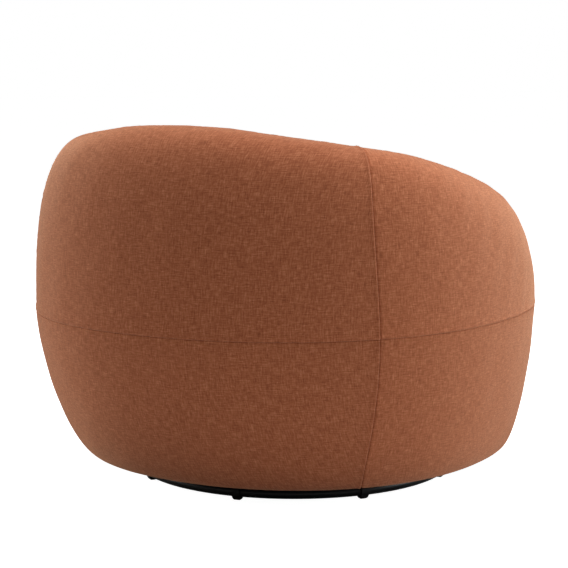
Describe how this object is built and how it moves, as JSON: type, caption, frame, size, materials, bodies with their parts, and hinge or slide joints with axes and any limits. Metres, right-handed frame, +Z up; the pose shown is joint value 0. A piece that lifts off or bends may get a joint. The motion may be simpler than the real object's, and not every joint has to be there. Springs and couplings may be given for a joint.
{
  "type": "swivel chair",
  "caption": "Low round-backed barrel chair with sloping arms and a loose seat cushion, upholstered in segments, on a ring base that lets the seat turn freely.",
  "frame": {"origin": "on the floor on the swivel axis, which is at the middle of the footprint", "axes": "+Z up, +Y toward the back of the chair, -Y toward the front, +X toward the sitter's left"},
  "size_m": [0.9698, 1.059, 0.72],
  "materials": {
    "upholstery": "coarse woven terracotta linen",
    "black_steel": "satin black powder coat",
    "black_nylon": "matte black nylon",
    "zinc_steel": "zinc plated",
    "roller_steel": "ground steel",
    "cage_plastic": "natural nylon",
    "dust_cloth": "thin black nonwoven cloth",
    "plywood": "raw plywood",
    "webbing": "woven webbing"
  },
  "bodies": {
    "base": {"base_ring": "black_steel", "base_spoke_1": "black_steel", "base_spoke_2": "black_steel", "base_spoke_3": "black_steel", "base_spoke_4": "black_steel", "hub_plate": "black_steel", "floor_glides": "black_nylon", "lower_bearing_plate": "zinc_steel", "pivot_rivet": "zinc_steel"},
    "roller_race": {"roller_cage": "cage_plastic", "bearing_rollers": "roller_steel"},
    "seat": {"upper_bearing_plate": "zinc_steel", "dust_cover": "dust_cloth", "base_board": "plywood", "belt_board": "plywood", "top_rail": "plywood", "webbing_lengthwise": "webbing", "webbing_crosswise": "webbing", "seat_deck": "upholstery", "lower_rib_1": "plywood", "lower_rib_2": "plywood", "lower_rib_3": "plywood", "lower_rib_4": "plywood", "lower_rib_5": "plywood", "lower_rib_6": "plywood", "lower_rib_7": "plywood", "lower_rib_8": "plywood", "upper_rib_1": "plywood", "upper_rib_2": "plywood", "upper_rib_3": "plywood", "upper_rib_4": "plywood", "upper_rib_5": "plywood", "upper_rib_6": "plywood", "upper_rib_7": "plywood", "outer_back_upper": "upholstery", "outer_back_lower": "upholstery", "outer_side_upper_left": "upholstery", "outer_side_upper_right": "upholstery", "outer_side_lower_left": "upholstery", "outer_side_lower_right": "upholstery", "front_band": "upholstery", "inner_back_pad": "upholstery", "inner_arm_pad_left": "upholstery", "inner_arm_pad_right": "upholstery", "arm_nose_left": "upholstery", "arm_nose_right": "upholstery", "seat_cushion": "upholstery"}
  },
  "joints": [
    {"name": "seat_swivel", "type": "hinge", "parent": "base", "child": "seat", "pos_m": [0, 0, 0], "axis": [0, 0, 1], "continuous": true},
    {"name": "race_turn", "type": "hinge", "parent": "base", "child": "roller_race", "pos_m": [0, 0, 0], "axis": [0, 0, 1], "continuous": true}
  ],
  "couplings": [
    {"joint": "race_turn", "follows": "seat_swivel", "ratio": 0.5}
  ]
}
